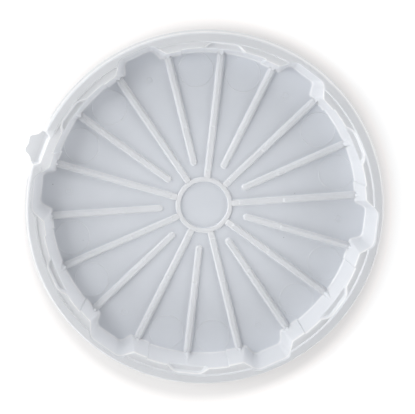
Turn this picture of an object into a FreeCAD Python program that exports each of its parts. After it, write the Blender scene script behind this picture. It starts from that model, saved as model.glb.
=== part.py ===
import FreeCAD, Part
import math
import os

import Sketcher

# Press-fit lid of a round cheese tub, one white polypropylene moulding, modelled
# region by region.  Millimetres, +Z up.  The origin is on the lid's axis, in the
# plane that the recess panel rests on.  The six notches lie at 0, 60, 120 ...
# degrees and the six pockets of the ledge half way between them.

DIMENSIONS = {
    "skin": 1.5,                # wall of the moulding
    "lid_dia": 226.0,           # lower edge of the skirt
    "rim_top": 26.5,            # top of the raised rim band
    "ledge_top": 24.6,          # flat ledge inside the band
    "skirt_foot": 19.8,         # lower edge of the skirt
    "foot_rad": 98.1,           # recess wall at the panel, inner face
    "brow_rad": 102.0,          # recess wall at the ledge, inner face
    "ridge_rad": 106.0,         # step from the ledge up to the rim band
    "band_rad": 110.6,          # outer edge of the band's flat top
    "band_round": 0.75,         # height of the slope that takes off its outer edge
    "band_draft": 0.25,         # how far the band's two sides lean in
    "shoulder_rad": 111.5,      # outside of the skirt under the band
    "skirt_wall": 1.3,
    "ledge_lap": 0.6,           # how far the ledge runs in under the band
    "notch_count": 6,
    "notch_root": 94.0,         # radius at which the notch outline is closed
    "notch_low_rad": 104.3,     # outer edge of a notch at the panel
    "notch_high_rad": 108.5,    # and at the rim top
    "notch_low_half": 9.7,      # half width at that edge, low and high
    "notch_high_half": 11.0,
    "notch_low_mouth": 13.5,    # half width at the root, low and high
    "notch_high_mouth": 22.2,
    "notch_corner": 3.5,
    "notch_wall": 1.3,
    "notch_trim_half": 28.0,    # half width of the cut that levels a notch wall
    "pocket_depth": 4.0,
    "pocket_out_rad": 105.4,
    "pocket_out_half": 8.3,
    "pocket_mouth_half": 12.3,
    "pocket_corner": 2.0,
    "hub_out_rad": 18.3,
    "hub_in_rad": 15.0,
    "hub_rise": 1.2,
    "hub_draft": 0.4,
    "hub_sink": 0.4,
    "rib_base": 4.4,
    "crest_hub": 2.7,           # width of a rib's crest beside the hub
    "crest_mid": 2.2,           # and over the inner and outer halves of the panel
    "crest_wall": 1.8,
    "rib_low": 1.1,             # rib height beside the hub
    "rib_mid": 1.8,             # rib height over the inner half of the panel
    "rib_high": 2.8,            # rib height over the outer half
    "hub_step_rad": 22.5,
    "mid_step_rad": 51.2,
    "short_rib_rad": 26.4,
    "rib_gap": 0.05,            # running gap between a rib's end and the wall
    "spike_run": 2.4,           # foot of the spike that climbs the wall
    "spike_top": 15.4,
    "bead_height": 1.6,
    "bead_depth": 0.5,
    "bead_foot": 20.4,
    "bead_end": 4.0,            # degrees between the bead's end and the tab's bay
    "tab_angle": 165.0,
    "tab_chord": 108.3,         # outer face of the straight wall behind the tab
    "tab_bay_half": 10.2,       # half width of the bay cut into the skirt
    "tab_gap_half": 8.6,        # half width of the gap in the rim band
    "tab_root": 108.9,          # hinge line of the tab
    "tab_rad": 118.6,
    "tab_root_half": 9.9,
    "tab_root_bevel": 1.0,
    "tab_neck_half": 7.6,
    "tab_neck_rad": 114.3,
    "tab_tip_half": 5.2,
    "tab_corner": 1.2,
    "tab_thick": 1.2,
}

SHEET = "dims"
NOTCH_STEP = 360 / DIMENSIONS["notch_count"]
LONG_RIBS = 9
RIB_STEP = 360 / (2 * LONG_RIBS)
FIRST_RIB = 90.0
PLANES = {"plan": "XY_Plane", "section": "XZ_Plane", "cross": "YZ_Plane"}

doc = FreeCAD.newDocument("cheese_tub_lid")
sheet = doc.addObject("Spreadsheet::Sheet", SHEET)
for row, (alias, value) in enumerate(DIMENSIONS.items(), start=1):
    sheet.set("A%d" % row, alias)
    sheet.set("B%d" % row, str(value))
    sheet.setAlias("B%d" % row, alias)
doc.recompute()

sub_parts = []


# ---------------------------------------------------------------- expressions

def cells(text):
    """Puts the sheet's name before every alias in an expression."""
    words = []
    word = ""
    for char in text + " ":
        if char.isalnum() or char == "_":
            word += char
            continue
        words.append(SHEET + "." + word if word in DIMENSIONS else word)
        words.append(char)
        word = ""
    return "".join(words).strip()


def number(text):
    """The value of an expression of the sheet's aliases, in millimetres."""
    value = sheet.evalExpression(cells(text))
    return float(getattr(value, "Value", value))


def bind(thing, prop, text):
    thing.setExpression(prop, cells(text))


# ------------------------------------------------------------------- sketches

def origin_feature(body, role):
    for feature in body.Origin.OriginFeatures:
        if feature.Role == role:
            return feature
    raise ValueError("no origin feature " + role)


def arc_between(start, end, radius):
    """The short arc from start to end, anticlockwise when radius is positive."""
    chord = end - start
    half = chord.Length / 2.0
    reach = math.sqrt(max(radius * radius - half * half, 0.0))
    left = FreeCAD.Vector(-chord.y, chord.x, 0).normalize()
    centre = (start + end) / 2.0 + left * (reach if radius > 0 else -reach)
    first, last = (start, end) if radius > 0 else (end, start)
    angles = [math.atan2(p.y - centre.y, p.x - centre.x) for p in (first, last)]
    circle = Part.Circle(centre, FreeCAD.Vector(0, 0, 1), abs(radius))
    return Part.ArcOfCircle(circle, angles[0], angles[1])


def outline(body, name, plane, corners, offset="0", turn="0"):
    """A closed sketch through corners, each an (x, y) pair of expressions.

    A third item is the radius of the arc that arrives at the corner, positive
    when it runs anticlockwise.  offset moves the sketch along its plane's
    normal, and turn rotates it in its plane, in degrees.
    """
    sketch = body.newObject("Sketcher::SketchObject", name)
    sketch.AttachmentSupport = [(origin_feature(body, PLANES[plane]), "")]
    sketch.MapMode = "FlatFace"
    bind(sketch, "AttachmentOffset.Base.z", offset)
    bind(sketch, "AttachmentOffset.Rotation.Angle", turn)
    points = [FreeCAD.Vector(number(c[0]), number(c[1]), 0) for c in corners]
    first_ends = []
    last_ends = []
    for index, corner in enumerate(corners):
        start, end = points[index - 1], points[index]
        radius = number(corner[2]) if len(corner) == 3 else 0
        if radius:
            edge = arc_between(start, end, radius)
        else:
            edge = Part.LineSegment(start, end)
        sketch.addGeometry(edge, False)
        first_ends.append(1 if radius >= 0 else 2)
        last_ends.append(2 if radius >= 0 else 1)
    for index, corner in enumerate(corners):
        following = (index + 1) % len(corners)
        sketch.addConstraint(Sketcher.Constraint(
            "Coincident", index, last_ends[index], following, first_ends[following]))
        for axis, kind in enumerate(("DistanceX", "DistanceY")):
            constraint = sketch.addConstraint(Sketcher.Constraint(
                kind, -1, 1, index, last_ends[index], points[index][axis]))
            bind(sketch, "Constraints[%d]" % constraint, corner[axis])
        if len(corner) == 3:
            size = corner[2].lstrip("-")
            constraint = sketch.addConstraint(Sketcher.Constraint(
                "Radius", index, number(size)))
            bind(sketch, "Constraints[%d]" % constraint, size)
    sketch.Visibility = False
    return sketch


# ------------------------------------------------------------------- features

def new_body(label):
    body = doc.addObject("PartDesign::Body", label)
    body.Label = label
    sub_parts.append(body)
    return body


def swing(body, angle):
    """Turns a whole sub-part about the lid's axis, angle in degrees."""
    body.Placement = FreeCAD.Placement(
        FreeCAD.Vector(0, 0, 0), FreeCAD.Rotation(FreeCAD.Vector(0, 0, 1), 1))
    bind(body, "Placement.Rotation.Angle", angle)


def extrude(body, kind, name, sketch, length, reverse=False, midplane=False):
    feature = body.newObject("PartDesign::" + kind, name)
    feature.Profile = sketch
    feature.Reversed = reverse
    feature.Midplane = midplane
    bind(feature, "Length", length)
    return feature


def revolve(body, kind, name, sketch, angle="360"):
    feature = body.newObject("PartDesign::" + kind, name)
    feature.Profile = sketch
    feature.ReferenceAxis = (origin_feature(body, "Z_Axis"), [""])
    feature.Midplane = True
    bind(feature, "Angle", angle)
    return feature


def loft(body, kind, name, low, high):
    feature = body.newObject("PartDesign::" + kind, name)
    feature.Profile = low
    feature.Sections = [high]
    feature.Ruled = True
    return feature


def pattern(body, name, originals, count):
    feature = body.newObject("PartDesign::PolarPattern", name)
    feature.Originals = originals
    feature.Axis = (origin_feature(body, "Z_Axis"), [""])
    feature.Angle = 360
    bind(feature, "Occurrences", count)
    body.Tip = feature
    return feature


# -------------------------------------------------------------- shared outlines

def rounded_bay(root, far, mouth_half, far_half, corner):
    """A bay open towards the axis: a trapezium with its two far corners round."""
    flare = "atan((%s - %s) / (%s - %s))" % (mouth_half, far_half, far, root)
    cut = "(%s) * tan((90 deg - %s) / 2)" % (corner, flare)
    side_x = "%s - %s * cos(%s)" % (far, cut, flare)
    side_y = "%s + %s * sin(%s)" % (far_half, cut, flare)
    far_y = "%s - %s" % (far_half, cut)
    return [
        (root, "-(%s)" % mouth_half),
        (side_x, "-(%s)" % side_y),
        (far, "-(%s)" % far_y, corner),
        (far, far_y),
        (side_x, side_y, corner),
        (root, mouth_half),
    ]


def notch_loft(body, kind, name, wall="0", turn="0"):
    """The space of one notch, from the panel to the rim top, thickened by wall."""
    ends = []
    for level, height in (("low", "skin"), ("high", "rim_top")):
        corners = rounded_bay(
            "notch_root", "(notch_%s_rad + %s)" % (level, wall),
            "(notch_%s_mouth + %s)" % (level, wall),
            "(notch_%s_half + %s)" % (level, wall), "(notch_corner + %s)" % wall)
        ends.append(outline(body, name + "_" + level, "plan", corners, height, turn))
    return loft(body, kind, name, ends[0], ends[1])


def pocket_outline(body, name, height, wall="0"):
    """Plan of a ledge pocket, thickened by wall and open towards the axis."""
    corners = rounded_bay(
        "foot_rad", "(pocket_out_rad + %s)" % wall, "(pocket_mouth_half + %s)" % wall,
        "(pocket_out_half + %s)" % wall, "(pocket_corner + %s)" % wall)
    return outline(body, name, "plan", corners, height)


LEAN = "(brow_rad - foot_rad) / (ledge_top - skin)"
LEDGE_FOOT = "ledge_top - skin"
SKIRT_LEAN = "(lid_dia / 2 - shoulder_rad) / (ledge_top - skirt_foot)"
POCKET_WALL = "ledge_lap"


def wall_radius(height):
    """Inner face of the drafted recess wall at a height."""
    return "foot_rad + (%s - skin) * %s" % (height, LEAN)


def skirt_radius(height):
    """Outer face of the flared skirt at a height."""
    return "lid_dia / 2 - (%s - skirt_foot) * %s" % (height, SKIRT_LEAN)


# ------------------------------------------------------------------- sub-parts

def recess_panel():
    """Flat floor of the recess, with a lobe under each notch and a sunk hub."""
    body = new_body("recess_panel")
    disc = outline(body, "disc_section", "section", [
        ("0", "0"),
        ("foot_rad + skin", "0"),
        ("foot_rad + skin", "skin"),
        ("hub_in_rad", "skin"),
        ("hub_in_rad", "skin - hub_sink"),
        ("0", "skin - hub_sink"),
    ])
    revolve(body, "Revolution", "disc", disc)
    lobe_plan = outline(body, "lobe_plan", "plan", rounded_bay(
        "notch_root", "(notch_low_rad + notch_wall)", "(notch_low_mouth + notch_wall)",
        "(notch_low_half + notch_wall)", "(notch_corner + notch_wall)"))
    lobe = extrude(body, "Pad", "lobe", lobe_plan, "skin")
    pattern(body, "lobes", [lobe], "notch_count")


def hub_ring():
    """Raised ring round the hub, its flanks drafted."""
    body = new_body("hub_ring")
    section = outline(body, "ring_section", "section", [
        ("hub_in_rad", "skin"),
        ("hub_out_rad", "skin"),
        ("hub_out_rad - hub_draft", "skin + hub_rise"),
        ("hub_in_rad + hub_draft", "skin + hub_rise"),
    ])
    revolve(body, "Revolution", "ring", section)


def rib_bar(body, name, start, end, height, crest):
    """A straight length of rib with drafted flanks, along +X."""
    section = outline(body, name + "_section", "cross", [
        ("-rib_base / 2", "skin"),
        ("rib_base / 2", "skin"),
        ("%s / 2" % crest, "skin + %s" % height),
        ("-%s / 2" % crest, "skin + %s" % height),
    ], start)
    extrude(body, "Pad", name, section, "%s - (%s)" % (end, start))


def rib(label, angle, start):
    """A radial rib in steps, ending in a spike that climbs the recess wall."""
    body = new_body(label)
    wall_foot = "foot_rad - rib_gap"
    if start != "short_rib_rad":
        rib_bar(body, "hub_bar", start, "hub_step_rad", "rib_low", "crest_hub")
        start = "hub_step_rad"
    rib_bar(body, "inner_bar", start, "mid_step_rad", "rib_mid", "crest_mid")
    rib_bar(body, "outer_bar", "mid_step_rad", wall_foot, "rib_high", "crest_wall")
    spike = outline(body, "spike_side", "section", [
        ("foot_rad - spike_run", "skin + rib_high / 2"),
        (wall_foot, "skin + rib_high / 2"),
        ("%s - rib_gap" % wall_radius("spike_top"), "spike_top"),
        ("foot_rad - spike_run", "skin + rib_high"),
    ])
    extrude(body, "Pad", "spike", spike, "crest_wall", midplane=True)
    swing(body, angle)


def wall_panel(label, angle):
    """One drafted length of the recess wall between two notches."""
    body = new_body(label)
    section = outline(body, "wall_section", "section", [
        ("foot_rad", "skin"),
        ("foot_rad + skin", "skin"),
        ("%s + skin" % wall_radius(LEDGE_FOOT), LEDGE_FOOT),
        (wall_radius(LEDGE_FOOT), LEDGE_FOOT),
    ])
    revolve(body, "Revolution", "wall", section, "360 / notch_count")
    notch_loft(body, "SubtractiveLoft", "left_end", "notch_wall", "180 / notch_count")
    notch_loft(body, "SubtractiveLoft", "right_end", "notch_wall", "-180 / notch_count")
    window = pocket_outline(
        body, "window_plan", "ledge_top - pocket_depth - skin", POCKET_WALL)
    extrude(body, "Pocket", "window", window, "pocket_depth + skin", reverse=True)
    swing(body, angle)


def recess_core(body):
    """Clears everything inside the drafted face of the recess wall."""
    section = outline(body, "core_section", "section", [
        ("0", "0"),
        (wall_radius("0"), "0"),
        (wall_radius("rim_top"), "rim_top"),
        ("0", "rim_top"),
    ])
    revolve(body, "Groove", "core", section)


def notch_wall(label, angle):
    """The folded wall round one notch, drafted outwards towards the rim."""
    body = new_body(label)
    notch_loft(body, "AdditiveLoft", "outside", "notch_wall")
    notch_loft(body, "SubtractiveLoft", "inside")
    recess_core(body)
    top = outline(body, "top_plan", "plan", [
        ("foot_rad - skin", "-notch_trim_half"),
        ("lid_dia / 2", "-notch_trim_half"),
        ("lid_dia / 2", "notch_trim_half"),
        ("foot_rad - skin", "notch_trim_half"),
    ], "ledge_top")
    extrude(body, "Pocket", "top", top, "rim_top - ledge_top", reverse=True)
    swing(body, angle)


def ledge_segment(label, angle):
    """Flat ledge between two notches, with a pocket sunk in its middle."""
    body = new_body(label)
    section = outline(body, "ledge_section", "section", [
        (wall_radius(LEDGE_FOOT), LEDGE_FOOT),
        ("ridge_rad + ledge_lap", LEDGE_FOOT),
        ("ridge_rad + ledge_lap", "ledge_top"),
        ("brow_rad", "ledge_top"),
    ])
    revolve(body, "Revolution", "ledge", section, "360 / notch_count")
    notch_loft(body, "SubtractiveLoft", "left_end", "notch_wall", "180 / notch_count")
    notch_loft(body, "SubtractiveLoft", "right_end", "notch_wall", "-180 / notch_count")
    tub = pocket_outline(body, "tub_plan", "ledge_top - pocket_depth - skin", POCKET_WALL)
    extrude(body, "Pad", "tub", tub, "pocket_depth")
    hollow = pocket_outline(body, "hollow_plan", "ledge_top - pocket_depth")
    extrude(body, "Pocket", "hollow", hollow, "pocket_depth", reverse=True)
    recess_core(body)
    swing(body, angle)


def tab_bay(body, name, half, foot, depth):
    """Cuts the bay of the lift tab from the outside in to the straight wall."""
    plan = outline(body, name + "_plan", "plan", [
        ("tab_chord", "-(%s) + skirt_wall" % half),
        ("tab_chord + skirt_wall", "-(%s)" % half),
        ("tab_rad", "-(%s)" % half),
        ("tab_rad", half),
        ("tab_chord + skirt_wall", half),
        ("tab_chord", "%s - skirt_wall" % half),
    ], foot, "tab_angle")
    extrude(body, "Pocket", name, plan, depth, reverse=True)


def rim_band():
    """Raised band round the ledge, bitten by the notches and open at the tab."""
    body = new_body("rim_band")
    section = outline(body, "band_section", "section", [
        ("ridge_rad", "ledge_top"),
        ("shoulder_rad", "ledge_top"),
        ("shoulder_rad - band_draft", "rim_top - band_round"),
        ("band_rad", "rim_top"),
        ("ridge_rad + band_draft", "rim_top"),
    ])
    revolve(body, "Revolution", "band", section)
    bite = notch_loft(body, "SubtractiveLoft", "bite")
    pattern(body, "bites", [bite], "notch_count")
    gap = outline(body, "gap_plan", "plan", [
        ("foot_rad", "-tab_gap_half"),
        ("tab_rad", "-tab_gap_half"),
        ("tab_rad", "tab_gap_half"),
        ("foot_rad", "tab_gap_half"),
    ], "ledge_top", "tab_angle")
    extrude(body, "Pocket", "gap", gap, "rim_top - ledge_top", reverse=True)
    tab_bay(body, "bay", "tab_bay_half", "ledge_top", "rim_top - ledge_top")


def skirt():
    """Flared skirt that grips the tub, with a straight wall behind the tab."""
    body = new_body("skirt")
    section = outline(body, "skirt_section", "section", [
        ("lid_dia / 2 - skirt_wall", "skirt_foot"),
        ("lid_dia / 2", "skirt_foot"),
        ("shoulder_rad", "ledge_top"),
        ("shoulder_rad - skirt_wall", "ledge_top"),
    ])
    revolve(body, "Revolution", "flare", section)
    outer = "(tab_bay_half + skirt_wall)"
    frame = outline(body, "bay_frame_plan", "plan", [
        ("tab_chord - skirt_wall", "-%s" % outer),
        ("shoulder_rad - skirt_wall", "-%s" % outer),
        ("shoulder_rad - skirt_wall", outer),
        ("tab_chord - skirt_wall", outer),
    ], "skirt_foot", "tab_angle")
    extrude(body, "Pad", "bay_frame", frame, "ledge_top - skirt_foot")
    tab_bay(body, "bay", "tab_bay_half", "skirt_foot", "ledge_top - skirt_foot")


def snap_bead():
    """Bead inside the skirt that catches under the tub's rim, open at the tab."""
    body = new_body("snap_bead")
    face = "%s - skirt_wall"
    middle = "bead_foot + bead_height / 2"
    section = outline(body, "bead_section", "section", [
        (face % skirt_radius("bead_foot"), "bead_foot"),
        (face % skirt_radius("bead_foot + bead_height"), "bead_foot + bead_height"),
        ("%s - skirt_wall - bead_depth" % skirt_radius(middle), middle),
    ])
    bay_angle = "2 * asin(2 * (tab_bay_half + skirt_wall) / lid_dia)"
    sweep = "(360 - 2 * bead_end) * 1 deg - %s" % bay_angle
    revolve(body, "Revolution", "bead", section, sweep)
    swing(body, "tab_angle + 180")


def lift_tab():
    """Tongue that flexes about the foot of the straight wall to start the lid."""
    body = new_body("lift_tab")
    shoulder = "(lid_dia / 2 - skirt_wall / 2)"
    tip_y = "(tab_tip_half - tab_corner)"
    right_side = [
        ("tab_root", "tab_root_bevel - tab_root_half"),
        ("tab_root + tab_root_bevel", "-tab_root_half"),
        (shoulder, "-tab_root_half"),
        ("tab_neck_rad", "-tab_neck_half", "-(tab_corner * 2)"),
        ("tab_rad - tab_corner", "-tab_tip_half"),
        ("tab_rad", "-%s" % tip_y, "tab_corner"),
    ]
    left_side = [
        ("tab_rad", tip_y),
        ("tab_rad - tab_corner", "tab_tip_half", "tab_corner"),
        ("tab_neck_rad", "tab_neck_half"),
        (shoulder, "tab_root_half", "-(tab_corner * 2)"),
        ("tab_root + tab_root_bevel", "tab_root_half"),
        ("tab_root", "tab_root_half - tab_root_bevel"),
    ]
    plan = outline(body, "tab_plan", "plan", right_side + left_side, "skirt_foot")
    extrude(body, "Pad", "tongue", plan, "tab_thick")
    swing(body, "tab_angle")


# -------------------------------------------------------------------- assembly

recess_panel()
hub_ring()
for rank in range(LONG_RIBS):
    long_angle = FIRST_RIB + 2 * RIB_STEP * rank
    rib("long_rib_%d" % (rank + 1), "%g" % long_angle, "(hub_out_rad + rib_gap)")
    rib("short_rib_%d" % (rank + 1), "%g" % (long_angle + RIB_STEP), "short_rib_rad")
for rank in range(int(DIMENSIONS["notch_count"])):
    wall_panel("wall_panel_%d" % (rank + 1), "%g" % (NOTCH_STEP * (rank + 0.5)))
    notch_wall("notch_wall_%d" % (rank + 1), "%g" % (NOTCH_STEP * rank))
    ledge_segment("ledge_segment_%d" % (rank + 1), "%g" % (NOTCH_STEP * (rank + 0.5)))
rim_band()
skirt()
snap_bead()
lift_tab()
doc.recompute()

# --------------------------------------------------------------- check, export

for thing in doc.Objects:
    if "Invalid" in thing.State or "Error" in thing.State:
        raise RuntimeError("%s failed: %s" % (thing.Label, thing.State))
for body in sub_parts:
    if body.Shape.isNull() or not body.Shape.isValid():
        raise RuntimeError("%s has no valid shape" % body.Label)

os.makedirs("parts", exist_ok=True)
for body in sub_parts:
    body.Shape.exportStep(os.path.join("parts", body.Label + ".step"))
    solids = len(body.Shape.Solids)
    print("%-18s %d solid(s) %10.2f mm3" % (body.Label, solids, body.Shape.Volume))
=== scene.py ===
import math

import bmesh
import bpy
import numpy as np
from mathutils import Matrix, Vector


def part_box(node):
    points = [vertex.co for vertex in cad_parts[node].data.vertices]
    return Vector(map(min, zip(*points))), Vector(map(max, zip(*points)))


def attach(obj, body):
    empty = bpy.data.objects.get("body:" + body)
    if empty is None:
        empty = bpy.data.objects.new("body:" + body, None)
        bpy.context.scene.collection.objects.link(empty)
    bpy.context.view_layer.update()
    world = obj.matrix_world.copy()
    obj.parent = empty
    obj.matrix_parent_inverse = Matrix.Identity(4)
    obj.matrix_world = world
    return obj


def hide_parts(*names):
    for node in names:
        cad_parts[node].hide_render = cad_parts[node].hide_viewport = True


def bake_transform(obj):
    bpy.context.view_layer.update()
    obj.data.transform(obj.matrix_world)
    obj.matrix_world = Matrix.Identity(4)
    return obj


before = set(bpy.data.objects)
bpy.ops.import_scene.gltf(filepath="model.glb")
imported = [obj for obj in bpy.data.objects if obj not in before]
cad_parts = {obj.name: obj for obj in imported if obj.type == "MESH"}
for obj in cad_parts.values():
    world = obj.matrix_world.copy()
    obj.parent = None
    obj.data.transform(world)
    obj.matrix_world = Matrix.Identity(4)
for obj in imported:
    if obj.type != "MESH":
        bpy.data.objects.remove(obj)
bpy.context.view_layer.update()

# ------------------------------------------------------------------ dimensions
# Lengths are millimetres until a mesh is made, angles are degrees.

MM = 0.001


def top_of(name):
    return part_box(name)[1].z / MM


def reach_of(name):
    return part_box(name)[1].x / MM


PANEL_TOP = top_of("recess_panel")
RIM_TOP = top_of("rim_band")
LEDGE_TOP = top_of("ledge_segment_1")
SKIRT_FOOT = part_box("skirt")[0].z / MM
LID_RADIUS = 113.0
HUB_OUT = reach_of("hub_ring")
HUB_TOP = top_of("hub_ring")
HUB_WALL = 3.3
TAB_TOP = top_of("lift_tab")

SECTORS = 6
HALF_SECTOR = 180.0 / SECTORS
FOOT_RADIUS = 98.1          # recess wall at the panel
BROW_RADIUS = 102.32        # recess wall carried up to the level of the rim top
RIDGE_RADIUS = 106.0        # step from the ledge up to the rim band
BAND_RADIUS = 110.3         # where the band's flat top starts to round over
JOG_ANGLE = 15.0            # beyond this the wall stands a little further in
JOG_DEPTH = 0.8
JOG_RUN = 0.35
FOOT_FILLET = 1.3
BROW_FILLET = 0.6
UNDER_ROUND = 1.2
SKIN_GROWTH = 1.25          # how much larger the outside of the wall is in plan
BROW_GROWTH = 0.9           # share of that growth at the brow
LEDGE_SKIN = 1.5
BAND_SKIN = 1.7
BAND_SKIN_SHIFT = 1.2       # the step from ledge to band is further out underneath
SKIRT_WALL = 1.3
SHOULDER_REACH = 1.15       # how far the rounding of the band's edge runs outwards
SHOULDER_DROP = 1.5         # and downwards
SHOULDER_CORNER = 0.85      # where its control point is

NOTCH_ROOT = 94.0
NOTCH_LOW = {"far": 104.3, "half": 9.7, "mouth": 13.5, "corner": 3.2}
NOTCH_HIGH = {"far": 108.5, "half": 11.0, "mouth": 22.2, "corner": 3.4}
INNER_CORNER = 1.1

POCKET_DEPTH = 4.0
POCKET_FAR = 105.6
POCKET_FAR_HALF = 8.6
POCKET_MOUTH = 102.0
POCKET_MOUTH_HALF = 12.6
POCKET_CORNER = 2.2
POCKET_DRAFT = 1.1
POCKET_SKIN = 0.9
POCKET_SKIN_RISE = 0.2      # the pocket's skin is this much thicker than the ledge's
STEP_RUN = 0.7

TAB_ANGLE = 165.0
TAB_DIRECTION = (math.cos(math.radians(TAB_ANGLE)), math.sin(math.radians(TAB_ANGLE)), 0.0)
TAB_SIDE = 45.0             # angles further from the tab than this don't feel it
FAR_AWAY = 1e3
CHORD_AT_TOP = 106.6
CHORD_AT_FOOT = 108.7
BAY_AT_TOP = (13.0, 8.5)    # half widths where the bay's side starts and ends
BAY_AT_FOOT = (10.6, 8.8)
GAP_HALF = (14.5, 8.0)      # the same for the gap in the rim band

RIB_HALF = (2.05, 2.4)      # half the base width at the hub and at the wall
RIB_DRAFT = 0.40
RIB_END = FOOT_RADIUS + 1.1
LONG_START = 17.3
SHORT_START = 26.4
HUB_STEP = 22.5
MID_STEP = 51.2
STEP_SLOPE = 0.9            # length of the slope at a step of a rib's crest
SPIKE_TOP = 17.0
SPIKE_PROUD = 2.4
ROUND_RIBS = 9
RIB_PITCH = 20.0
FIRST_RIB = 90.0


def smooth(t):
    t = np.clip(t, 0.0, 1.0)
    return t * t * (3.0 - 2.0 * t)


def wrapped(angle):
    """Angles brought into -180 to 180 degrees."""
    return (np.asarray(angle) + 180.0) % 360.0 - 180.0


def turned(points, angle):
    """Plan points turned about the lid's axis."""
    c, s = math.cos(math.radians(angle)), math.sin(math.radians(angle))
    x, y = points[..., 0], points[..., 1]
    return np.stack([c * x - s * y, s * x + c * y], axis=-1)


def bezier(a, b, c, t):
    """Points of the curve that leaves a and reaches c, pulled towards b."""
    t = np.asarray(t)[..., None]
    return (1 - t) ** 2 * a + 2 * t * (1 - t) * b + t ** 2 * c


def fresh_steps(count):
    """Even steps from 0 to 1 without the 0, which the curve before has."""
    return np.linspace(0, 1, count)[1:]


# ---------------------------------------------------------------- wall outlines

# Angles from a sector's middle at which the wall is sampled, close together
# where the pocket's and the lift bay's corners are.
ARC_ANGLES = np.concatenate([
    np.linspace(0.0, 3.6, 5),
    np.linspace(3.8, 11.0, 41),
    np.linspace(11.5, 14.5, 6),
    JOG_ANGLE + np.array([-0.24, -0.14, 0.0, 0.14, 0.24]),
    np.linspace(15.8, 18.5, 6),
])
FREE_FROM = 16.0            # beyond this the wall's rulings lean with the notch
SHARPEST_CUT = 0.4
CUT_GROWTH = 0.5            # share of the growth that a corner's cut gains or loses
CORNER_STEPS, SIDE_STEPS, FAR_STEPS, CHORD_STEPS = 7, 15, 10, 5


def half_outline(radius, notch, growth=0.0):
    """Plan of the recess wall from the middle of a sector to a notch's middle."""
    far = notch["far"] + growth
    half = notch["half"] + growth
    slope = (notch["mouth"] - notch["half"]) / (notch["far"] - NOTCH_ROOT)
    reach = half + far * slope
    radius = radius + growth
    inner = radius - JOG_DEPTH
    root = math.sqrt(slope ** 2 * reach ** 2 - (1 + slope ** 2) * (reach ** 2 - inner ** 2))
    x_meet = (slope * reach + root) / (1 + slope ** 2)
    y_meet = reach - slope * x_meet
    corner_angle = HALF_SECTOR - math.degrees(math.atan2(y_meet, x_meet))
    inner_cut = max(INNER_CORNER - growth * CUT_GROWTH, SHARPEST_CUT)
    last = corner_angle - math.degrees(inner_cut / radius)
    stretch = (last - FREE_FROM) / (ARC_ANGLES[-1] - FREE_FROM)
    angles = np.where(ARC_ANGLES > FREE_FROM,
                      FREE_FROM + (ARC_ANGLES - FREE_FROM) * stretch, ARC_ANGLES)
    radii = radius - JOG_DEPTH * smooth((angles - JOG_ANGLE) / JOG_RUN + 0.5)
    arc = np.stack([radii * np.cos(np.radians(angles)),
                    radii * np.sin(np.radians(angles))], axis=-1)

    # the rest in the notch's own frame, x outwards through its middle
    meet = np.array([x_meet, -y_meet])
    far_corner = np.array([far, -half])
    along = (far_corner - meet) / np.linalg.norm(far_corner - meet)
    outer_cut = notch["corner"] + growth * CUT_GROWTH
    side_start = meet + along * inner_cut
    side_end = far_corner - along * outer_cut
    chord_start = far_corner + np.array([0.0, outer_cut])
    arc_end = turned(arc[-1:], -HALF_SECTOR)[0]
    steps = [
        bezier(arc_end, meet, side_start, fresh_steps(CORNER_STEPS)),
        side_start + (side_end - side_start) * fresh_steps(SIDE_STEPS)[:, None],
        bezier(side_end, far_corner, chord_start, fresh_steps(FAR_STEPS)),
        chord_start + (np.array([far, 0.0]) - chord_start) * fresh_steps(CHORD_STEPS)[:, None],
    ]
    return np.concatenate([arc, turned(np.concatenate(steps), HALF_SECTOR)])


def full_outline(radius, notch, growth=0.0):
    """The closed outline, anticlockwise from the middle of the first notch."""
    half = half_outline(radius, notch, growth)
    mirrored = half[::-1] * np.array([1.0, -1.0])
    sector = np.concatenate([mirrored, half[1:]])[:-1]
    turns = [turned(sector, HALF_SECTOR * (2 * k + 1)) for k in range(SECTORS)]
    return np.concatenate(turns)


HALF_COUNT = len(half_outline(FOOT_RADIUS, NOTCH_LOW)) - 1
ARC_COUNT = len(ARC_ANGLES)
STATIONS = 2 * SECTORS * HALF_COUNT


# ------------------------------------------------------------------- rim shapes

def plan_angle(points):
    return np.degrees(np.arctan2(points[..., 1], points[..., 0]))


def pocket_mask(radius, angle, growth=0.0):
    """1 on the floor of a ledge pocket, 0 outside it, sloping between."""
    offset = np.radians((angle % (2 * HALF_SECTOR)) - HALF_SECTOR)
    x, y = radius * np.cos(offset), np.abs(radius * np.sin(offset))
    run = np.array([POCKET_FAR - POCKET_MOUTH, POCKET_FAR_HALF - POCKET_MOUTH_HALF])
    run /= np.linalg.norm(run)
    side = (x - POCKET_MOUTH) * -run[1] + (y - POCKET_MOUTH_HALF) * run[0] - growth
    far = x - POCKET_FAR - growth
    a, b = side + POCKET_CORNER, far + POCKET_CORNER
    distance = np.minimum(np.maximum(a, b), 0.0) - POCKET_CORNER
    distance = distance + np.hypot(np.maximum(a, 0.0), np.maximum(b, 0.0))
    return smooth(-distance / POCKET_DRAFT)


def across_tab(radius, angle):
    """Distance from the tab's centre line, very large on the far side."""
    offset = wrapped(angle - TAB_ANGLE)
    across = np.abs(radius * np.sin(np.radians(offset)))
    return np.where(np.abs(offset) < TAB_SIDE, across, FAR_AWAY)


def rim_height(radius, angle, under=False):
    """Height of the ledge, its pockets and the rim band, above or below the skin."""
    ledge, band, shift, growth, floor = LEDGE_TOP, RIM_TOP, 0.0, 0.0, POCKET_DEPTH
    if under:
        ledge, band, shift = LEDGE_TOP - LEDGE_SKIN, RIM_TOP - BAND_SKIN, BAND_SKIN_SHIFT
        growth, floor = POCKET_SKIN, POCKET_DEPTH - POCKET_SKIN_RISE
    gap = smooth((GAP_HALF[0] - across_tab(radius, angle)) / (GAP_HALF[0] - GAP_HALF[1]))
    step = smooth((radius - RIDGE_RADIUS - shift) / STEP_RUN + 0.5)
    height = ledge + (band - ledge) * step * (1.0 - gap)
    return height - floor * pocket_mask(radius, angle, growth)


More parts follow.
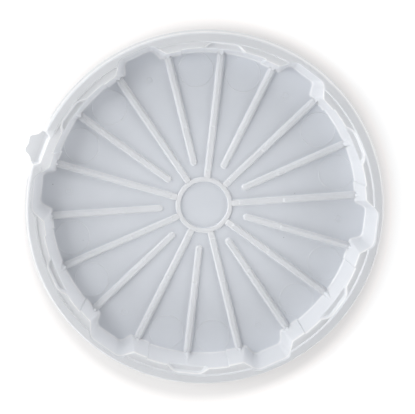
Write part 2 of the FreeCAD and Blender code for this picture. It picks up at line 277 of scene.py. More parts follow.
def outer_radius(circle, angle):
    """Outside of the skirt where it would have the radius circle but for the bay."""
    share = (circle - BAND_RADIUS) / (LID_RADIUS - BAND_RADIUS)
    chord = CHORD_AT_TOP + (CHORD_AT_FOOT - CHORD_AT_TOP) * share
    offset = np.radians(np.clip(wrapped(angle - TAB_ANGLE), -TAB_SIDE, TAB_SIDE))
    straight = np.minimum(chord / np.cos(offset), circle)
    start = BAY_AT_TOP[0] + (BAY_AT_FOOT[0] - BAY_AT_TOP[0]) * share
    end = BAY_AT_TOP[1] + (BAY_AT_FOOT[1] - BAY_AT_TOP[1]) * share
    inside = smooth((start - across_tab(circle, angle)) / (start - end))
    return circle + (straight - circle) * inside


# ------------------------------------------------------------------- shell skin

RING_RADII = (0.0, 8.0, 15.5, 15.9, 25.0, 40.0, 55.0, 70.0, 82.0)
HUB_SINK = 0.4
SINK_RADIUS = 15.7          # hidden under the hub ring
STEP_KNOT = 6               # the last knot on the ledge, before the step to the band
KNOTS = np.array([102.9, 103.3, 103.7, 104.1, 104.5, 104.9, 105.2, 105.4, 105.55,
                  105.7, 105.85, 106.0, 106.15, 106.3, 106.5, 107.2, 108.4, 109.6])
FOOT_STEPS = np.linspace(0, 1, 6)
WALL_STEPS = np.linspace(0, 1, 7)[1:-1]
BROW_STEPS = np.linspace(0, 1, 5)
SHOULDER_STEPS = np.linspace(0, 1, 6)
SKIRT_STEPS = np.linspace(0, 1, 5)[1:]
CROWD = 0.012               # least distance kept between rings that close up
HALVINGS = 40
LIP_OUT, LIP_UP = 0.09, 0.14    # the lip at the skirt's foot, inside its full radius
SKIRT_END_IN, SKIRT_END_UP = 0.05, 0.4
LIP_THICKNESS = 0.3
LIP_TURN = 0.3              # share of the lip's thickness reached where it starts

PANEL_END = len(RING_RADII)
WALL_END = PANEL_END + len(FOOT_STEPS) + len(WALL_STEPS) + len(BROW_STEPS) - 1
STEP_RING = WALL_END + 2 + STEP_KNOT
BAND_END = WALL_END + 1 + len(KNOTS)


def polar(radius, angle, height):
    rad = np.radians(angle)
    return np.stack([radius * np.cos(rad), radius * np.sin(rad),
                     np.broadcast_to(height, np.shape(angle))], axis=-1)


def lifted(plan, height):
    """Plan points given a height, one number or one for each point."""
    return np.concatenate([plan, np.broadcast_to(height, len(plan))[:, None]], axis=-1)


def shell_skin(under=False):
    """One side of the moulding as rings of points, [ring, station, xyz].

    Rings run from the axis out to the skirt's foot. Stations follow the wall's
    outline, so that the drafted wall is ruled between its foot and its brow.
    """
    growth = SKIN_GROWTH if under else 0.0
    floor = 0.0 if under else PANEL_TOP
    corner = UNDER_ROUND if under else FOOT_FILLET
    low = full_outline(FOOT_RADIUS, NOTCH_LOW, growth)
    high = full_outline(BROW_RADIUS, NOTCH_HIGH, growth * BROW_GROWTH)
    rise = RIM_TOP - PANEL_TOP

    def on_wall(share):
        share = np.broadcast_to(share, len(low))[:, None]
        plan = low + (high - low) * share
        return np.concatenate([plan, PANEL_TOP + rise * share], axis=-1)

    def brow_share():
        """How far up the ruled wall meets the ledge or the band, by halving."""
        lowest, highest = np.full(len(low), 0.5), np.ones(len(low))
        for _ in range(HALVINGS):
            middle = (lowest + highest) / 2
            point = on_wall(middle)
            radius = np.hypot(point[:, 0], point[:, 1])
            below = point[:, 2] < rim_height(radius, plan_angle(point), under)
            lowest = np.where(below, middle, lowest)
            highest = np.where(below, highest, middle)
        return (lowest + highest) / 2

    rings = []
    direction = low / np.linalg.norm(low, axis=-1, keepdims=True)
    for radius in RING_RADII:
        sunk = HUB_SINK if radius < SINK_RADIUS and not under else 0.0
        rings.append(lifted(direction * radius, floor - sunk))

    foot_share = (floor - PANEL_TOP) / rise
    first_share = foot_share + corner / rise
    foot, first = on_wall(foot_share), on_wall(first_share)
    start = lifted(full_outline(FOOT_RADIUS, NOTCH_LOW, growth - corner), floor)
    for t in FOOT_STEPS:
        rings.append(bezier(start, foot, first, np.full(len(low), t)))

    top_share = brow_share()
    last_share = top_share - BROW_FILLET / rise
    for t in WALL_STEPS:
        rings.append(on_wall(first_share + (last_share - first_share) * t))
    last, brow = on_wall(last_share), on_wall(top_share)
    angle = plan_angle(brow)
    brow_radius = np.hypot(brow[:, 0], brow[:, 1])
    edge = outer_radius(BAND_RADIUS, angle) - (SKIRT_WALL if under else 0.0)
    flat_start = np.minimum(brow_radius + BROW_FILLET, edge - CROWD * (len(KNOTS) + 2))
    flat = polar(flat_start, angle, rim_height(flat_start, angle, under))
    for t in BROW_STEPS:
        rings.append(bezier(last, brow, flat, np.full(len(low), t)))

    for rank, knot in enumerate(KNOTS):
        radius = np.maximum(knot, flat_start + CROWD * (rank + 1))
        radius = np.minimum(radius, edge - CROWD * (len(KNOTS) - rank))
        rings.append(polar(radius, angle, rim_height(radius, angle, under)))

    edge_height = rim_height(edge, angle, under)
    squeeze = (edge_height - SKIRT_FOOT) / (RIM_TOP - SKIRT_FOOT)

    def on_skirt(circle, height):
        inset = SKIRT_WALL if under else 0.0
        return polar(outer_radius(circle, angle) - inset, angle,
                     SKIRT_FOOT + (height - SKIRT_FOOT) * squeeze)

    shoulder, shoulder_foot = BAND_RADIUS + SHOULDER_REACH, RIM_TOP - SHOULDER_DROP
    turn = (on_skirt(BAND_RADIUS, RIM_TOP), on_skirt(BAND_RADIUS + SHOULDER_CORNER, RIM_TOP),
            on_skirt(shoulder, shoulder_foot))
    for t in SHOULDER_STEPS:
        rings.append(bezier(*turn, np.full(len(low), t)))
    for t in SKIRT_STEPS:
        circle = shoulder + (LID_RADIUS - SKIRT_END_IN - shoulder) * t
        height = shoulder_foot + (SKIRT_FOOT + SKIRT_END_UP - shoulder_foot) * t
        rings.append(on_skirt(circle, height))
    lip = -LIP_THICKNESS if under else LIP_THICKNESS
    for height, share in ((SKIRT_FOOT + LIP_UP, LIP_TURN), (SKIRT_FOOT, 1.0)):
        rings.append(on_skirt(LID_RADIUS - LIP_OUT, height) - polar(lip * share, angle, 0.0))
    return np.array(rings)


def vertex_normals(rings, flip):
    """Area-weighted normals of a skin, closed round the stations."""
    following = np.roll(rings, -1, axis=1)
    a, b = rings[:-1], rings[1:]
    c, d = following[:-1], following[1:]
    face = np.cross(d - a, c - b) * (-1.0 if flip else 1.0)
    total = np.zeros_like(rings)
    total[:-1] += face
    total[1:] += face
    total += np.roll(total, 1, axis=1)
    total[0] = total[0].sum(axis=0)
    length = np.linalg.norm(total, axis=-1, keepdims=True)
    return total / np.maximum(length, 1e-12)


# ---------------------------------------------------------------------- meshes

def mesh_object(name, points, faces, normals=None):
    """A smooth-shaded object from points in millimetres."""
    mesh = bpy.data.meshes.new(name)
    mesh.from_pydata((np.asarray(points) * MM).tolist(), [], faces)
    mesh.polygons.foreach_set("use_smooth", [True] * len(mesh.polygons))
    mesh.validate()
    mesh.update()
    if normals is not None:
        mesh.normals_split_custom_set_from_vertices(normals.tolist())
    piece = bpy.data.objects.new(name, mesh)
    bpy.context.scene.collection.objects.link(piece)
    return piece


def region_piece(name, cells, top, under, top_normals, under_normals):
    """A closed piece of the shell: the cells of both skins and the sides between."""
    rings, stations = top.shape[:2]
    index = {}
    points, normals, faces = [], [], []

    def vertex(side, ring, station):
        station %= stations
        if ring == 0:
            station = 0
        key = (side, ring, station)
        if key not in index:
            index[key] = len(points)
            points.append((under if side else top)[ring, station])
            normals.append((under_normals if side else top_normals)[ring, station])
        return index[key]

    def add(*corners):
        face = []
        for corner in corners:
            number = vertex(*corner)
            if number not in face:
                face.append(number)
        if len(face) > 2:
            faces.append(face)

    ring_count = rings - 1
    for ring, station in zip(*np.nonzero(cells)):
        ring, station = int(ring), int(station)
        after = station + 1
        add((0, ring, station), (0, ring + 1, station), (0, ring + 1, after), (0, ring, after))
        add((1, ring, station), (1, ring, after), (1, ring + 1, after), (1, ring + 1, station))
        if ring > 0 and not cells[ring - 1, station]:
            add((0, ring, station), (0, ring, after), (1, ring, after), (1, ring, station))
        if ring + 1 == ring_count or not cells[ring + 1, station]:
            add((0, ring + 1, after), (0, ring + 1, station),
                (1, ring + 1, station), (1, ring + 1, after))
        if not cells[ring, station - 1]:
            add((0, ring + 1, station), (0, ring, station), (1, ring, station),
                (1, ring + 1, station))
        if not cells[ring, after % stations]:
            add((0, ring, after), (0, ring + 1, after), (1, ring + 1, after), (1, ring, after))
    return mesh_object(name, np.array(points), faces, np.array(normals))


def tube_faces(rows, per_row, first=0, capped=(True, True), closed=False):
    """Faces of a loft through rows of closed loops."""
    faces = []
    for row in range(rows if closed else rows - 1):
        for k in range(per_row):
            a, b = row * per_row, (row + 1) % rows * per_row
            nxt = (k + 1) % per_row
            faces.append([first + a + k, first + a + nxt, first + b + nxt, first + b + k])
    if capped[0]:
        faces.append([first + k for k in reversed(range(per_row))])
    if capped[1]:
        faces.append([first + (rows - 1) * per_row + k for k in range(per_row)])
    return faces


def finish_piece(piece, body, *nodes):
    """Puts a piece on its body, in place of its CAD nodes, in the lid's plastic."""
    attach(piece, body)
    if nodes:
        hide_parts(*nodes)
    piece.data.materials.append(LID_PLASTIC)
    return piece


# ------------------------------------------------------------------- materials

def add_node(tree, kind, **settings):
    """A new node; the settings are its own, such as operation."""
    made = tree.nodes.new(kind)
    for name, value in settings.items():
        setattr(made, name, value)
    return made


def place_in_object(tree):
    return add_node(tree, "ShaderNodeTexCoord").outputs["Object"]


def noise(tree, coordinates, scale, detail=2.0):
    made = add_node(tree, "ShaderNodeTexNoise")
    made.inputs["Scale"].default_value = scale
    made.inputs["Detail"].default_value = detail
    tree.links.new(coordinates, made.inputs["Vector"])
    return made.outputs["Fac"]


def ramp(tree, source, stops):
    """A colour ramp; stops are (position, colour)."""
    made = add_node(tree, "ShaderNodeValToRGB")
    elements = made.color_ramp.elements
    while len(elements) < len(stops):
        elements.new(0.5)
    for element, (position, colour) in zip(elements, stops):
        element.position = position
        element.color = (*colour, 1.0)
    tree.links.new(source, made.inputs["Fac"])
    return made.outputs["Color"]


def share_between(tree, source, low, high):
    """0 where the source is low millimetres, 1 where it is high, linear between."""
    made = add_node(tree, "ShaderNodeMapRange")
    made.inputs["From Min"].default_value = low * MM
    made.inputs["From Max"].default_value = high * MM
    tree.links.new(source, made.inputs["Value"])
    return made.outputs["Result"]


def tones_between(tree, source, tones):
    """A colour ramp over millimetres; tones are (distance, colour)."""
    low, high = tones[0][0], tones[-1][0]
    return ramp(tree, share_between(tree, source, low, high), [
        ((distance - low) / (high - low), colour) for distance, colour in tones
    ])


def multiplied(tree, a, b):
    made = add_node(tree, "ShaderNodeMix", data_type="RGBA", blend_type="MULTIPLY")
    made.inputs["Factor"].default_value = 1.0
    tree.links.new(a, made.inputs["A"])
    tree.links.new(b, made.inputs["B"])
    return made.outputs["Result"]


def vector_step(tree, source, operation, other=None):
    """A vector operation on the source and, where it takes one, a fixed vector."""
    made = add_node(tree, "ShaderNodeVectorMath", operation=operation)
    tree.links.new(source, made.inputs[0])
    if other is not None:
        made.inputs[1].default_value = other
    return made.outputs["Value" if operation in ("LENGTH", "DOT_PRODUCT") else "Vector"]


def height_of(tree, source):
    split = add_node(tree, "ShaderNodeSeparateXYZ")
    tree.links.new(source, split.inputs["Vector"])
    return split.outputs["Z"]


def bump(tree, height, strength, distance, under=None):
    made = add_node(tree, "ShaderNodeBump")
    made.inputs["Strength"].default_value = strength
    made.inputs["Distance"].default_value = distance
    tree.links.new(height, made.inputs["Height"])
    if under is not None:
        tree.links.new(under, made.inputs["Normal"])
    return made.outputs["Normal"]


def grey(value):
    return (value, value, value)


# Painted light and shade by height, standing in for light let through the milky plastic:
# painted shade where it is a thin skin over the hollow rim, darker than where it is a solid
# rib or lies on the table, painted highlights in the corners of the wall, where the light
# gathers, and a cool painted tint on the panel.
PAINTED_LIGHT_BY_HEIGHT = [              # (height above the table, share of the full colour)
    (0.0, (0.943, 0.960, 0.988)), (1.6, (0.943, 0.960, 0.988)),
    (1.75, (1.06, 1.05, 1.04)), (2.3, (1.05, 1.04, 1.03)),
    (3.2, grey(1.0)), (22.4, grey(1.0)), (23.1, (1.06, 1.04, 1.01)), (24.45, (1.18, 1.15, 1.11)),
    (24.57, grey(0.94)), (25.2, grey(0.93)), (26.4, grey(0.86)), (RIM_TOP, grey(0.86)),
]
PAINTED_SKIRT_SHADE = [             # painted shade on the outside of the skirt, as above but by distance from the axis
    (110.7, grey(1.0)), (111.7, grey(0.82)), (113.0, grey(0.72)),
]
TAB_SHADE_FREE_START, TAB_SHADE_FREE_END = 110.4, 111.4     # outside the bay the tab keeps its full colour, free of the painted skirt shade

MOTTLE_SCALE, MOTTLE_DETAIL = 38.0, 3.0
MOTTLE_COLOURS = [(0.35, (0.660, 0.672, 0.697)), (0.65, (0.682, 0.693, 0.717))]
DUST_SCALE = 60.0
DUST_TONES = [(0.012, grey(0.55)), (0.028, grey(1.0))]
SHEEN_SCALE, SHEEN_DETAIL = 90.0, 4.0
SHEEN_ROUGHNESS = [(0.3, grey(0.31)), (0.7, grey(0.38))]
GRAIN_SCALE, GRAIN_STRENGTH, GRAIN_DEPTH = 2600.0, 0.12, 0.0001
WAVE_SCALE, WAVE_DETAIL, WAVE_STRENGTH, WAVE_DEPTH = 45.0, 1.0, 0.04, 0.0006
GLOSS = 0.55


def moulded_plastic():
    """White polypropylene: satin, faintly mottled, with a fine spark-eroded grain."""
    material = bpy.data.materials.new("lid_plastic")
    material.use_nodes = True
    tree = material.node_tree
    shader = tree.nodes["Principled BSDF"]
    place = place_in_object(tree)

    mottle = ramp(tree, noise(tree, place, MOTTLE_SCALE, MOTTLE_DETAIL), MOTTLE_COLOURS)
    speck = add_node(tree, "ShaderNodeTexVoronoi")
    speck.inputs["Scale"].default_value = DUST_SCALE
    tree.links.new(place, speck.inputs["Vector"])
    dust = ramp(tree, speck.outputs["Distance"], DUST_TONES)

    # painted highlights and painted shade by height, multiplied into the colour
    skin = tones_between(tree, height_of(tree, place), PAINTED_LIGHT_BY_HEIGHT)
    flat = vector_step(tree, place, "MULTIPLY", (1.0, 1.0, 0.0))
    # painted shade on the outside of the skirt, darker further out
    shaded_skirt = tones_between(tree, vector_step(tree, flat, "LENGTH"), PAINTED_SKIRT_SHADE)
    along_tab = vector_step(tree, place, "DOT_PRODUCT", TAB_DIRECTION)
    # the tab beyond the bay is left out of the painted skirt shade
    shade_spared_on_tab = add_node(tree, "ShaderNodeMix", data_type="RGBA")
    shade_spared_on_tab.inputs["B"].default_value = (1.0, 1.0, 1.0, 1.0)
    tree.links.new(share_between(tree, along_tab, TAB_SHADE_FREE_START, TAB_SHADE_FREE_END),
                   shade_spared_on_tab.inputs["Factor"])
    tree.links.new(shaded_skirt, shade_spared_on_tab.inputs["A"])

    # the dust specks are the plastic's own; the height and skirt tones are painted light and
    # shade
    colour = mottle
    for tone in (dust, skin, shade_spared_on_tab.outputs["Result"]):
        colour = multiplied(tree, colour, tone)
    tree.links.new(colour, shader.inputs["Base Color"])

    sheen = ramp(tree, noise(tree, place, SHEEN_SCALE, SHEEN_DETAIL), SHEEN_ROUGHNESS)
    tree.links.new(sheen, shader.inputs["Roughness"])

    grain = bump(tree, noise(tree, place, GRAIN_SCALE), GRAIN_STRENGTH, GRAIN_DEPTH)
    wave = bump(tree, noise(tree, place, WAVE_SCALE, WAVE_DETAIL), WAVE_STRENGTH, WAVE_DEPTH,
                grain)
    tree.links.new(wave, shader.inputs["Normal"])
    shader.inputs["Specular IOR Level"].default_value = GLOSS
    return material


LID_PLASTIC = moulded_plastic()


# ---------------------------------------------------------------- shell pieces

def build_shell():
    """The continuous skin of the moulding, cut into its named regions."""
    top, under = shell_skin(), shell_skin(under=True)
    top_normals, under_normals = vertex_normals(top, False), vertex_normals(under, True)
    rings = len(top) - 1
    ring = np.arange(rings)[:, None] * np.ones((1, STATIONS), int)
    station = np.ones((rings, 1), int) * np.arange(STATIONS)
    per_sector = 2 * HALF_COUNT
    local = station % per_sector
    from_middle = np.where(local >= HALF_COUNT, local - HALF_COUNT, HALF_COUNT - 1 - local)
    sector = station // per_sector
    half_turn = (station + HALF_COUNT) // per_sector % SECTORS
    in_wall = from_middle < ARC_COUNT - 1

    ledge_end = np.hypot(top[WALL_END, :, 0], top[WALL_END, :, 1])
    ledge_cell = np.maximum(ledge_end, np.roll(ledge_end, -1)) < KNOTS[STEP_KNOT]
    on_ledge = (ring >= WALL_END) & (ring < STEP_RING) & ledge_cell[None, :]

    def make(name, cells):
        piece = region_piece(name, cells, top, under, top_normals, under_normals)
        finish_piece(piece, "lid_shell", name)

    make("recess_panel", ring < PANEL_END)
    wall = (ring >= PANEL_END) & (ring < WALL_END)
    for rank in range(SECTORS):
        make("wall_panel_%d" % (rank + 1), wall & in_wall & (sector == rank))
        make("notch_wall_%d" % (rank + 1), wall & ~in_wall & (half_turn == rank))
        make("ledge_segment_%d" % (rank + 1), on_ledge & (sector == rank))
    make("rim_band", (ring >= WALL_END) & (ring < BAND_END) & ~on_ledge)
    make("skirt", ring >= BAND_END)


# ------------------------------------------------------------------ ribs, hub

RIB_UNDER_RING = 0.1        # a crest starts this far below the hub ring's top
RIB_AFTER_HUB = 1.75        # height of a crest just past the step by the hub
RIB_GAIN = (0.25, 0.65)     # what it gains by slope up to the middle step, and beyond
RIB_MID_RISE = 0.55         # what it gains at the middle step
RIB_STOPS = (95.0, 90.0, 80.0, 70.0, 60.0)
STEP_STOPS = (0.75, 0.55, 0.4, 0.2, 0.0, -0.2, -0.4, -0.55, -0.75)
STEP_MARGINS = (4.0, 3.0)   # plain lengths of rib kept outside and inside a step
END_TURNS = np.radians(np.linspace(0, 90, 8)[1:])
END_CLEAR = 0.2             # least distance between a rib's last two straight sections

# (inset from the foot outline, height) up one flank of a rib: its foot as it is,
# then its crest, measured from the top of the drafted flank
RIB_FOOT = ((-0.30, -0.30), (-0.30, 0.0), (-0.12, 0.04), (0.02, 0.14), (0.10, 0.26))
RIB_CREST = ((-0.11, -0.26), (-0.03, -0.13), (0.08, -0.03), (0.22, 0.0), (0.34, 0.0))


def rib_half(x):
    """Half the width of a rib's base at the distance x from the axis."""
    return RIB_HALF[0] + (RIB_HALF[1] - RIB_HALF[0]) * (x - HUB_OUT) / (FOOT_RADIUS - HUB_OUT)


def ramp_up(x, start):
    return smooth((x - start) / STEP_SLOPE + 0.5)


def rib_height(x):
    """Height of a rib's crest above the panel, stepped and rising outwards."""
    near = HUB_TOP - PANEL_TOP - RIB_UNDER_RING
    height = near + (RIB_AFTER_HUB - near) * ramp_up(x, HUB_STEP)
    height = height + RIB_GAIN[0] * np.clip((x - HUB_STEP) / (MID_STEP - HUB_STEP), 0, 1)
    height = height + RIB_MID_RISE * ramp_up(x, MID_STEP)
    return height + RIB_GAIN[1] * np.clip((x - MID_STEP) / (FOOT_RADIUS - MID_STEP), 0, 1)


def rib_section(x, reach=0.0, narrowing=1.0):
    """A rib's closed section; at a rounded end it is narrower and reaches inwards."""
    height, half = float(rib_height(x)), rib_half(x)
    levels = list(RIB_FOOT)
    levels += [(RIB_DRAFT * height + inset, height + drop) for inset, drop in RIB_CREST]
    flank = [(x - (half - inset) * reach, (half - inset) * narrowing, z) for inset, z in levels]
    return flank + [(x, -y, z) for x, y, z in reversed(flank)]


def rib_rows(start, free_end):
    """Cross-sections of a rib along +X, from the wall in to its inner end."""
    stops = [RIB_END, *RIB_STOPS]
    for step in (MID_STEP, HUB_STEP):
        if step > start:
            stops += [step + STEP_MARGINS[0], step - STEP_MARGINS[1]]
            stops += [step + d * STEP_SLOPE for d in STEP_STOPS]
    middle = start + RIB_HALF[0] if free_end else start
    stops = sorted([s for s in stops if s > middle + END_CLEAR] + [middle], reverse=True)
    rows = [rib_section(x) for x in stops]
    if free_end:
        rows += [rib_section(middle, math.sin(turn), math.cos(turn)) for turn in END_TURNS]
    return np.array(rows)


SPIKE_ROOT = 0.4            # height of the spike's lowest section above the panel
SPIKE_ROWS = 16
SPIKE_POINT = 0.35          # added to how proud it stands, straight down to nothing
SPIKE_TAPER, SPIKE_NARROWING = 2.2, 0.9
SPIKE_LEAST = (0.02, 0.05)  # how proud and how wide each half still is at its point
SPIKE_BURIED = 0.6
SPIKE_SECTION = (           # (share of how proud it stands, share of its half width)
    (0.0, 1.0), (0.1, 0.94), (0.82, 0.4), (0.96, 0.3), (1.0, 0.21),
)


def spike_rows():
    """Cross-sections of the spike by which a rib climbs the recess wall."""
    lean = (BROW_RADIUS - FOOT_RADIUS) / (RIM_TOP - PANEL_TOP)
    rows = []
    for t in np.linspace(0, 1, SPIKE_ROWS):
        z = SPIKE_ROOT + (SPIKE_TOP - PANEL_TOP - SPIKE_ROOT) * t
        face = FOOT_RADIUS + z * lean
        proud = SPIKE_PROUD * (1.0 - t) ** SPIKE_TAPER + SPIKE_POINT * (1.0 - t) + SPIKE_LEAST[0]
        half = RIB_HALF[1] * (1.0 - t) ** SPIKE_NARROWING + SPIKE_LEAST[1]
        flank = [(face + SPIKE_BURIED, half)]
        flank += [(face - proud * out, half * across) for out, across in SPIKE_SECTION]
        loop = flank + [(x, -y) for x, y in reversed(flank)]
        rows.append([(x, y, z) for x, y in loop])
    return np.array(rows)


def spun(section, angle, level=0.0):
    """A section of (radius, height) stood up at an angle round the axis."""
    c, s = math.cos(math.radians(angle)), math.sin(math.radians(angle))
    return np.array([(r * c, r * s, z + level) for r, z in section])


def placed(points, angle):
    """Points of a part drawn along +X on the panel, turned to their place."""
    plan = turned(points[:, :2], angle)
    return np.concatenate([plan, points[:, 2:] + PANEL_TOP], axis=-1)


def build_rib(name, angle, start, free_end):
    bar, spike = rib_rows(start, free_end), spike_rows()
    bar_points, spike_points = bar.reshape(-1, 3), spike.reshape(-1, 3)
    faces = tube_faces(len(bar), bar.shape[1], capped=(True, not free_end))
    faces += tube_faces(len(spike), spike.shape[1], first=len(bar_points))
    points = np.concatenate([placed(bar_points, angle), placed(spike_points, angle)])
    piece = mesh_object(name, points, faces)
    tidy(piece)
    finish_piece(piece, "lid_shell", name)


JOIN_DISTANCE = 0.0005


def tidy(piece):
    """Joins points that coincide and turns all faces outwards."""
    work = bmesh.new()
    work.from_mesh(piece.data)
    bmesh.ops.remove_doubles(work, verts=work.verts, dist=JOIN_DISTANCE * MM)
    bmesh.ops.recalc_face_normals(work, faces=work.faces)
    work.to_mesh(piece.data)
    work.free()


RING_TICKS = (-85.4, 26.6, 143.6)   # where the ring's top changes level
RING_LEVELS = (0.0, 0.07, -0.05)
RING_PLAIN_LEVEL = 0.07
RING_SPAN = 112.0                   # how far each level runs from its tick
RING_COUNT = 240

# The ring's section, from the foot of its outside to the foot of its inside, as
# (inset, height above the panel), and at its two edges (inset, drop from the top).
RING_OUTSIDE = ((-0.1, -0.3), (-0.1, 0.0), (0.12, 0.16))
RING_OUTER_EDGE = ((0.45, 0.2), (0.55, 0.05), (0.75, 0.0))
RING_INNER_EDGE = ((0.7, 0.0), (0.52, 0.05), (0.42, 0.2))
RING_INSIDE = ((0.1, -0.2), (-0.1, -0.35), (-0.1, -0.6))


def ring_level(angle):
    level = RING_PLAIN_LEVEL
    for tick, height in zip(RING_TICKS, RING_LEVELS):
        if 0 <= wrapped(angle - tick) < RING_SPAN:
            level = height
    return level


def build_hub_ring():
    """The raised ring round the hub, in three arcs of slightly different height."""
    rows = []
    inner = HUB_OUT - HUB_WALL
    for k in range(RING_COUNT):
        angle = 360.0 * k / RING_COUNT
        top = HUB_TOP - PANEL_TOP + ring_level(angle)
        section = [(HUB_OUT - inset, z) for inset, z in RING_OUTSIDE]
        section += [(HUB_OUT - inset, top - drop) for inset, drop in RING_OUTER_EDGE]
        section += [(inner + inset, top - drop) for inset, drop in RING_INNER_EDGE]
        section += [(inner + inset, z) for inset, z in RING_INSIDE]
        rows.append(spun(section, angle, PANEL_TOP))
    piece = mesh_object("hub_ring", np.concatenate(rows),
                        tube_faces(RING_COUNT, len(rows[0]), capped=(False, False), closed=True))
    tidy(piece)
    finish_piece(piece, "lid_shell", "hub_ring")


# ----------------------------------------------------------------- small marks

MARK_RADIUS = 86.9
MARK_OFFSET = 10.0
MARK_SIZE = 10.7
SMALL_MARK_SIZE = 1.6
MARK_PROUD = 0.18
MARK_LIP = (0.55, 0.45)     # width of the lip of a pad's mark and of a pin's mark
MARK_SEGMENTS = (72, 24)
MARK_BURIED = -0.15
MARK_SECTION = (            # across a lip: (share of its width, share of its height)
    (0.0, 0.0), (0.25, 0.8), (0.45, 1.0), (0.65, 0.8), (1.0, 0.0),
)


def build_marks():
    """Lips round the shallow dents left in the panel by the ejector pads and pins."""
    points, faces = [], []

    def ring(angle, size, width, segments):
        centre = turned(np.array([MARK_RADIUS, 0.0]), angle)
        first = len(points)
        section = [(0.0, MARK_BURIED)]
        section += [(width * across, MARK_PROUD * up) for across, up in MARK_SECTION]
        section += [(width, MARK_BURIED)]
        for k in range(segments):
            turn = 2 * math.pi * k / segments
            for offset, z in section:
                reach = size + offset
                points.append((centre[0] + reach * math.cos(turn),
                               centre[1] + reach * math.sin(turn), PANEL_TOP + z))
        faces.extend(tube_faces(segments, len(section), first=first,
                                capped=(False, False), closed=True))

    for k in range(SECTORS):
        middle = HALF_SECTOR * (2 * k + 1)
        for side in (-1, 1):
            ring(middle + side * MARK_OFFSET, MARK_SIZE, MARK_LIP[0], MARK_SEGMENTS[0])
        ring(middle - HALF_SECTOR, SMALL_MARK_SIZE, MARK_LIP[1], MARK_SEGMENTS[1])
    piece = mesh_object("ejector_marks", np.array(points), faces)
    tidy(piece)
    finish_piece(piece, "lid_shell")


# ---------------------------------------------------------- snap bead, lift tab

BEAD_OPEN_HALF = 9.0        # half the angle left open behind the tab
BEAD_PROUD = 0.5
BEAD_BURIED = 0.25
BEAD_ROWS = 240
BEAD_TURNS = np.linspace(0, 180, 9)
SKIRT_LEAN = 0.32           # how far the skirt leans in for each millimetre up


def build_snap_bead():
    """Rounded bead inside the skirt, open behind the lift tab."""
    low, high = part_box("snap_bead")
    foot, rise = low.z / MM, (high.z - low.z) / MM
    rows = []
    for angle in np.linspace(TAB_ANGLE + BEAD_OPEN_HALF, TAB_ANGLE + 360 - BEAD_OPEN_HALF,
                             BEAD_ROWS):
        section = []
        for turn in np.radians(BEAD_TURNS):
            z = foot + rise * (1 - math.cos(turn)) / 2
            face = LID_RADIUS - SKIRT_WALL - (z - SKIRT_FOOT) * SKIRT_LEAN
            section.append((face - BEAD_PROUD * math.sin(turn), z))
        section.append((face + BEAD_BURIED, z))
        section.insert(0, (section[0][0] + BEAD_BURIED, foot))
        rows.append(spun(section, angle))
    piece = mesh_object("snap_bead", np.concatenate(rows), tube_faces(BEAD_ROWS, len(rows[0])))
    tidy(piece)
    finish_piece(piece, "lid_shell", "snap_bead")


TAB_OUTLINE = [             # (distance from the axis, half width) along the tab
    (107.3, 8.0), (108.1, 8.6), (109.0, 9.2), (110.2, 9.8), (112.3, 10.1), (113.0, 9.7),
    (113.6, 8.5), (114.3, 7.6), (115.6, 6.6), (117.0, 5.9), (117.8, 5.4),
    (118.3, 4.8), (118.55, 4.0),
]
TAB_TIP_START = 116.0       # where the tongue starts to curve towards its dished tip
TAB_TIP_BOW = 0.28          # half of how far the tip's sides reach past its middle
TAB_TIP_TRIM = 0.48         # how far the tip's middle is drawn back
TAB_SHOULDER = (113.0, 113.3)   # where the slices along the tongue grow finer
TAB_SLICES = (14, 16)
TAB_ACROSS = np.linspace(-1, 1, 25)
TAB_FILLET_END = 109.5
TAB_FILLET_RISE = 1.0
TAB_FILLET_HALF = (8.6, 6.8)   # where the fillet has faded out, and where it starts to
TAB_EDGE = 0.38
TAB_EDGE_SEGMENTS = 3
TAB_EDGE_ANGLE = 50.0


def build_lift_tab():
    """Tongue on the skirt's foot, with a fillet up the wall behind it."""
    reach, halves = np.array(TAB_OUTLINE).T
    rows = []
    for x in [*np.linspace(reach[0], TAB_SHOULDER[0], TAB_SLICES[0]),
              *np.linspace(TAB_SHOULDER[1], reach[-1], TAB_SLICES[1])]:
        half = float(np.interp(x, reach, halves))
        climb = max(0.0, (TAB_FILLET_END - x) / (TAB_FILLET_END - reach[0]))
        fade = smooth((TAB_FILLET_HALF[0] - np.abs(TAB_ACROSS * half))
                      / (TAB_FILLET_HALF[0] - TAB_FILLET_HALF[1]))
        crest = TAB_TOP + TAB_FILLET_RISE * climb ** 2 * fade
        tip = smooth((x - TAB_TIP_START) / (reach[-1] - TAB_TIP_START))
        bow = tip * (TAB_TIP_BOW * (1 - np.cos(math.pi * TAB_ACROSS)) - TAB_TIP_TRIM)
        upper = [(x + b, v * half, z) for v, b, z in zip(TAB_ACROSS, bow, crest)]
        lower = [(p[0], p[1], SKIRT_FOOT) for p in reversed(upper)]
        rows.append(upper + lower)
    rows = np.array(rows)
    flat = rows.reshape(-1, 3)
    points = np.concatenate([turned(flat[:, :2], TAB_ANGLE), flat[:, 2:]], axis=-1)
    piece = mesh_object("lift_tab", points, tube_faces(len(rows), rows.shape[1]))
    tidy(piece)
    bevel = piece.modifiers.new("edge", "BEVEL")
    bevel.width = TAB_EDGE * MM
    bevel.segments = TAB_EDGE_SEGMENTS
    bevel.limit_method = "ANGLE"
    bevel.angle_limit = math.radians(TAB_EDGE_ANGLE)
    bevel.harden_normals = False
    bake_modifiers(piece)
    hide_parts("lift_tab")
    piece.data.materials.append(LID_PLASTIC)
    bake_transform(piece)


def bake_modifiers(piece):
    """Applies a piece's modifiers to its mesh."""
    graph = bpy.context.evaluated_depsgraph_get()
    mesh = bpy.data.meshes.new_from_object(piece.evaluated_get(graph))
    piece.modifiers.clear()
    piece.data = mesh
    mesh.polygons.foreach_set("use_smooth", [True] * len(mesh.polygons))


